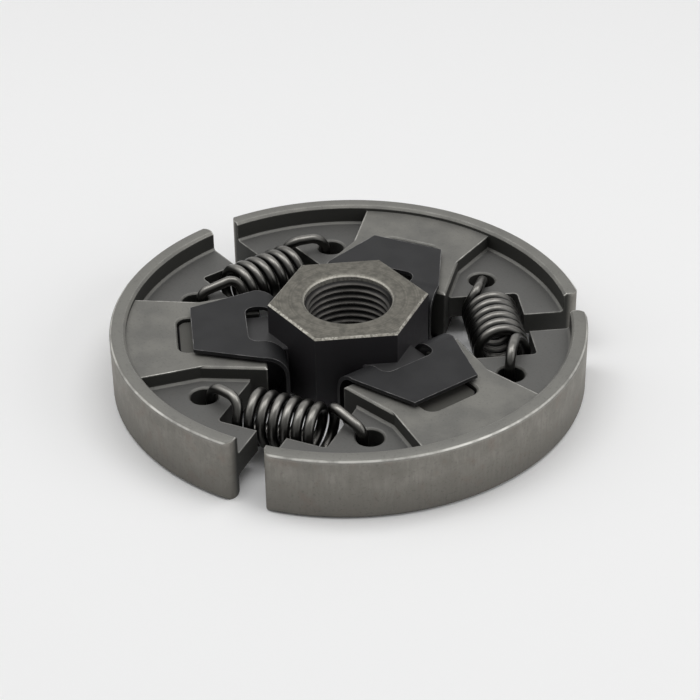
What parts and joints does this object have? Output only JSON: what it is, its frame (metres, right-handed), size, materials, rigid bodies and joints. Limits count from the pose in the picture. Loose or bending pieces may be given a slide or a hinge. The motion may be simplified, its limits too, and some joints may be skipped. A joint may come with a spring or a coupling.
{
  "type": "centrifugal clutch",
  "caption": "Centrifugal clutch for a chainsaw: hexagonal threaded hub with radial arms, friction shoes sliding on the arms, hooked return springs and folded sheet retainers.",
  "frame": {"origin": "on the clutch axis, in the plane that the shoes' lower edges stand on", "axes": "+Z along the clutch axis towards the hub's wrench end, +X along the first arm"},
  "size_m": [0.0648, 0.065, 0.0122],
  "materials": {
    "hub_steel": "dark machined steel with bright worn edges",
    "shoe_iron": "steam-treated sintered iron, matt warm grey",
    "retainer_steel": "black phosphated spring sheet, satin",
    "spring_steel": "oil-tempered spring wire, dark gunmetal"
  },
  "bodies": {
    "carrier": {"carrier": "hub_steel", "retainer_1": "retainer_steel", "retainer_2": "retainer_steel", "retainer_3": "retainer_steel", "spring_1": "spring_steel", "spring_2": "spring_steel", "spring_3": "spring_steel"},
    "shoe_1": {"shoe_1": "shoe_iron"},
    "shoe_2": {"shoe_2": "shoe_iron"},
    "shoe_3": {"shoe_3": "shoe_iron"}
  },
  "joints": [
    {"name": "shoe_1_slide", "type": "slide", "parent": "carrier", "child": "shoe_1", "axis": [1, 0, 0], "range_m": [0, 0.0015], "stiffness_N_per_m": 3000, "springref_m": -0.0004, "deforming": ["spring_1", "spring_3"]},
    {"name": "shoe_2_slide", "type": "slide", "parent": "carrier", "child": "shoe_2", "axis": [-0.5, 0.866, 0], "range_m": [0, 0.0015], "stiffness_N_per_m": 3000, "springref_m": -0.0004, "deforming": ["spring_1", "spring_2"]},
    {"name": "shoe_3_slide", "type": "slide", "parent": "carrier", "child": "shoe_3", "axis": [-0.5, -0.866, 0], "range_m": [0, 0.0015], "stiffness_N_per_m": 3000, "springref_m": -0.0004, "deforming": ["spring_2", "spring_3"]}
  ]
}
